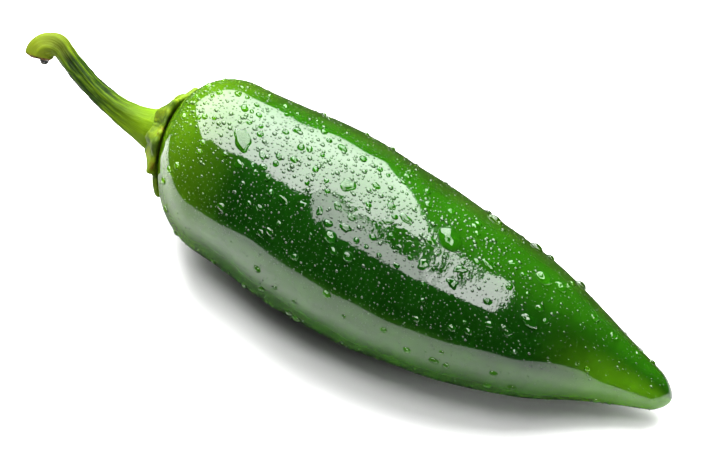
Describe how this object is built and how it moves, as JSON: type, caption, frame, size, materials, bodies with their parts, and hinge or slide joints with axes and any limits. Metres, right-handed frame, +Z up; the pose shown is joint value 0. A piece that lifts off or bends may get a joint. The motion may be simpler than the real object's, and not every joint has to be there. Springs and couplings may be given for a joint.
{
  "type": "chilli pepper",
  "caption": "Fresh green chilli pepper lying on its side: a tapered glossy pod, a scalloped calyx collar and a ridged stem that ends in a hook.",
  "frame": {"origin": "on the surface that the pod lies on, under the middle of the whole object's box", "axes": "+X from the stem towards the pod's tip, +Z up, the pod lying on its side"},
  "size_m": [0.104, 0.03, 0.0273],
  "materials": {
    "pod_skin": "waxy glossy skin, wet",
    "calyx_skin": "leathery, dry along the rim",
    "stem_skin": "fibrous, ridged, satin",
    "water": "clear water drops"
  },
  "bodies": {
    "root": {"pod": "pod_skin", "calyx": "calyx_skin", "stem": "stem_skin"}
  },
  "joints": []
}
